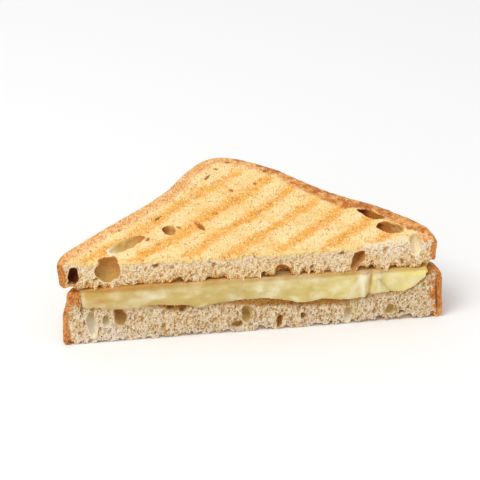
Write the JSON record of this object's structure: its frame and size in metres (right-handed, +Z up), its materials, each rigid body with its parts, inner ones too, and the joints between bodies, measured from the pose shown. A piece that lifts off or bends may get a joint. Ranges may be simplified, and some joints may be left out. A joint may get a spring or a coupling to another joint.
{
  "type": "grilled cheese sandwich",
  "caption": "Triangular half of a grilled cheese sandwich: toasted bread slices with melted cheese showing at the cut and oozing along the crust.",
  "frame": {"origin": "on the surface that the sandwich lies on, below the middle of its bounding box", "axes": "+X runs along the cut face, +Y from the cut face to the crust's corner, +Z up through the layers"},
  "size_m": [0.1356, 0.074, 0.0337],
  "materials": {
    "lower_bread": "dry toasted bread with an open crumb at the cut",
    "cheese": "soft sheen of melted cheese",
    "upper_bread": "dry toasted bread with grill stripes"
  },
  "bodies": {
    "root": {"lower_bread_slice": "lower_bread", "melted_cheese": "cheese", "upper_bread_slice": "upper_bread"}
  },
  "joints": []
}
